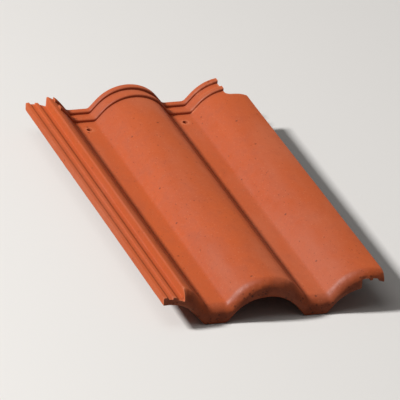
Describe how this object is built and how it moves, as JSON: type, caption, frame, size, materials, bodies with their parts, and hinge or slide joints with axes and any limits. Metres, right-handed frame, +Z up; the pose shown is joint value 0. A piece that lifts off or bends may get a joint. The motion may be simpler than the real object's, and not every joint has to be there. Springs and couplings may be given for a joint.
{
  "type": "interlocking clay roof tile",
  "caption": "Clay roof tile with rolls and flat pans, ribbed side locks, a rounded nose lip, head ribs, batten nibs and nail holes; laid in interlocking courses to shed rain.",
  "frame": {"origin": "middle of the base, as the tile lies on its nose lip and its nibs on a level floor", "axes": "+X across the slope, from the underlock to the covering wing; +Y up the slope, from the nose to the head; +Z up, out of the weather face"},
  "size_m": [0.2198, 0.41, 0.0445],
  "materials": {
    "fired_clay": "satin"
  },
  "bodies": {
    "root": {"roof_tile": "fired_clay"}
  },
  "joints": []
}
